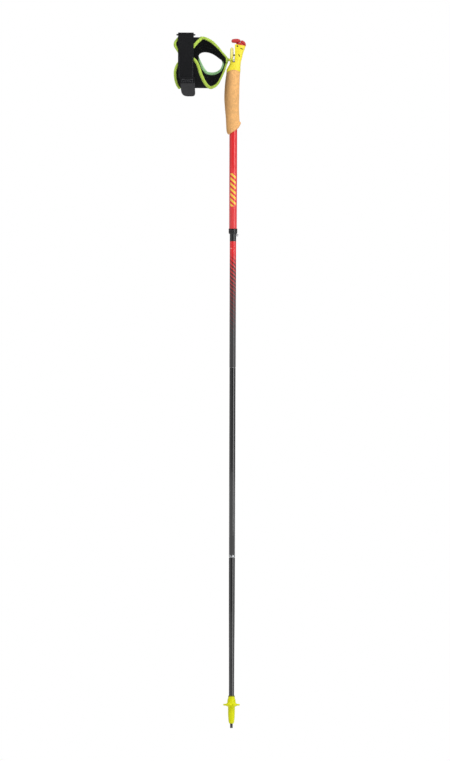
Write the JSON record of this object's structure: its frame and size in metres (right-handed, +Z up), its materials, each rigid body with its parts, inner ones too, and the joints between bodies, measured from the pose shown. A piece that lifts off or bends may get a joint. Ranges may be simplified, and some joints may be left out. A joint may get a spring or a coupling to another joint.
{
  "type": "ski pole",
  "caption": "Slim folding pole with cork grip, sliding lock section, carbide tip with small basket, and a clip-in half-glove hand strap released by a rocker lever.",
  "frame": {"origin": "centre of the flat end of the carbide tip", "axes": "+Z up the shaft to the grip, +X to the front of the grip away from the strap, +Y to the back-of-hand side of the strap"},
  "size_m": [0.1301, 0.0535, 1.2613],
  "materials": {
    "carbide": "sintered grey",
    "neon_plastic": "moulded neon yellow",
    "carbon": "clear-coated carbon laminate",
    "red_paint": "red lacquer on carbon laminate",
    "red_plastic": "soft red moulding",
    "black_plastic": "moulded black",
    "aluminium": "turned",
    "steel": "turned",
    "cork": "ground cork",
    "tension_cord": "braided",
    "neon_cord": "braided",
    "black_fabric": "knitted mesh and webbing"
  },
  "bodies": {
    "grip_section": {"cork_grip": "cork", "grip_head": "neon_plastic", "crown_pad": "red_plastic", "lever_pin": "steel", "upper_tube": "red_paint", "lock_collar": "black_plastic", "cord_anchor": "black_plastic", "upper_cord": "tension_cord", "latch_spring": "steel"},
    "release_lever": {"release_lever": "red_plastic"},
    "latch": {"latch_bolt": "steel"},
    "strap": {"strap_loop": "neon_cord", "loop_ferrule": "neon_plastic", "hand_back_panel": "black_fabric", "palm_panel": "black_fabric", "wrist_band": "black_fabric", "strap_ring": "black_plastic", "ring_keeper": "black_fabric"},
    "flap": {"wrist_flap": "black_fabric", "flap_tab": "black_plastic"},
    "slide_section": {"slide_tube": "red_paint", "guide_bush": "black_plastic", "upper_joint_plug": "aluminium", "slide_cord": "tension_cord", "button_leaf_spring": "steel"},
    "button": {"lock_button": "steel"},
    "middle_section": {"middle_tube": "carbon", "middle_cord": "tension_cord", "lower_joint_plug": "aluminium"},
    "lower_section": {"lower_tube": "carbon", "joint_ring": "aluminium", "lower_cord": "tension_cord", "cord_stop": "aluminium", "tip_holder": "neon_plastic", "basket": "neon_plastic", "carbide_tip": "carbide"}
  },
  "joints": [
    {"name": "lever_press", "type": "hinge", "parent": "grip_section", "child": "release_lever", "pos_m": [0.0071, 0, 1.2368], "axis": [0, -1, 0], "range_deg": [0, 16.5], "stiffness_Nm_per_rad": 0.1, "springref_deg": -8.02},
    {"name": "latch_retract", "type": "slide", "parent": "grip_section", "child": "latch", "axis": [1, 0, 0], "range_m": [0, 0.005], "deforming": ["latch_spring"]},
    {"name": "strap_swing", "type": "hinge", "parent": "grip_section", "child": "strap", "pos_m": [0.00075, 0, 1.2118], "axis": [0, 1, 0], "range_deg": [-5, 28]},
    {"name": "flap_open", "type": "hinge", "parent": "strap", "child": "flap", "pos_m": [-0.0865, -0.0095, 1.2571], "axis": [-1, 0, 0], "range_deg": [0, 100]},
    {"name": "section_slide", "type": "slide", "parent": "grip_section", "child": "slide_section", "axis": [0, 0, 1], "range_m": [0, 0.2], "deforming": ["upper_cord", "lock_button"]},
    {"name": "button_press", "type": "slide", "parent": "slide_section", "child": "button", "axis": [-1, 0, 0], "range_m": [0, 0.0036], "stiffness_N_per_m": 600, "springref_m": -0.002, "deforming": ["button_leaf_spring"]},
    {"name": "middle_pull", "type": "slide", "parent": "slide_section", "child": "middle_section", "axis": [0, 0, -1], "range_m": [0, 0.045], "stiffness_N_per_m": 300, "springref_m": -0.02},
    {"name": "lower_pull", "type": "slide", "parent": "middle_section", "child": "lower_section", "axis": [0, 0, -1], "range_m": [0, 0.045], "stiffness_N_per_m": 300, "springref_m": -0.02}
  ],
  "couplings": [
    {"joint": "latch_retract", "follows": "lever_press", "m_per_rad": 0.017362}
  ]
}
